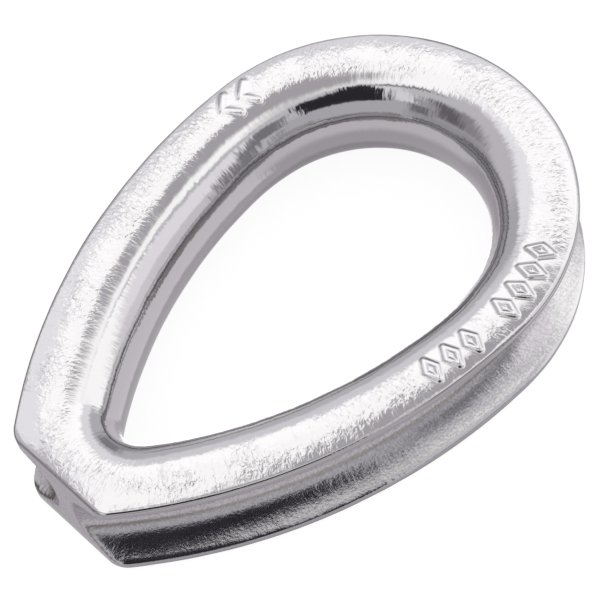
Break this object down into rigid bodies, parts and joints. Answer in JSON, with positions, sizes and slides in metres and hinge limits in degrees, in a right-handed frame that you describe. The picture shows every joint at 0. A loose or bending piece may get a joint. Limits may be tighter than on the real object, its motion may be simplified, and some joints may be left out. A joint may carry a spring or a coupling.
{
  "type": "rope thimble",
  "caption": "Solid closed teardrop thimble with a full-round eye for a pin or shackle and a round groove for a wire or fibre rope's eye splice.",
  "frame": {"origin": "centre of the eye's crown arc at mid thickness, where the middle of a close-fitting pin sits", "axes": "+X along the thimble from the tip facet to the crown, +Y across it, +Z through its thickness towards the flange that carries the raised marks"},
  "size_m": [0.0852, 0.0588, 0.0161],
  "materials": {
    "thimble_body": "electropolished stainless casting, leathery on the flange faces, sandy in the groove, smooth in the eye",
    "raised_marks": "electropolished stainless casting, soft-edged relief"
  },
  "bodies": {
    "root": {"thimble_body": "thimble_body", "size_mark": "raised_marks", "grade_mark": "raised_marks"}
  },
  "joints": []
}
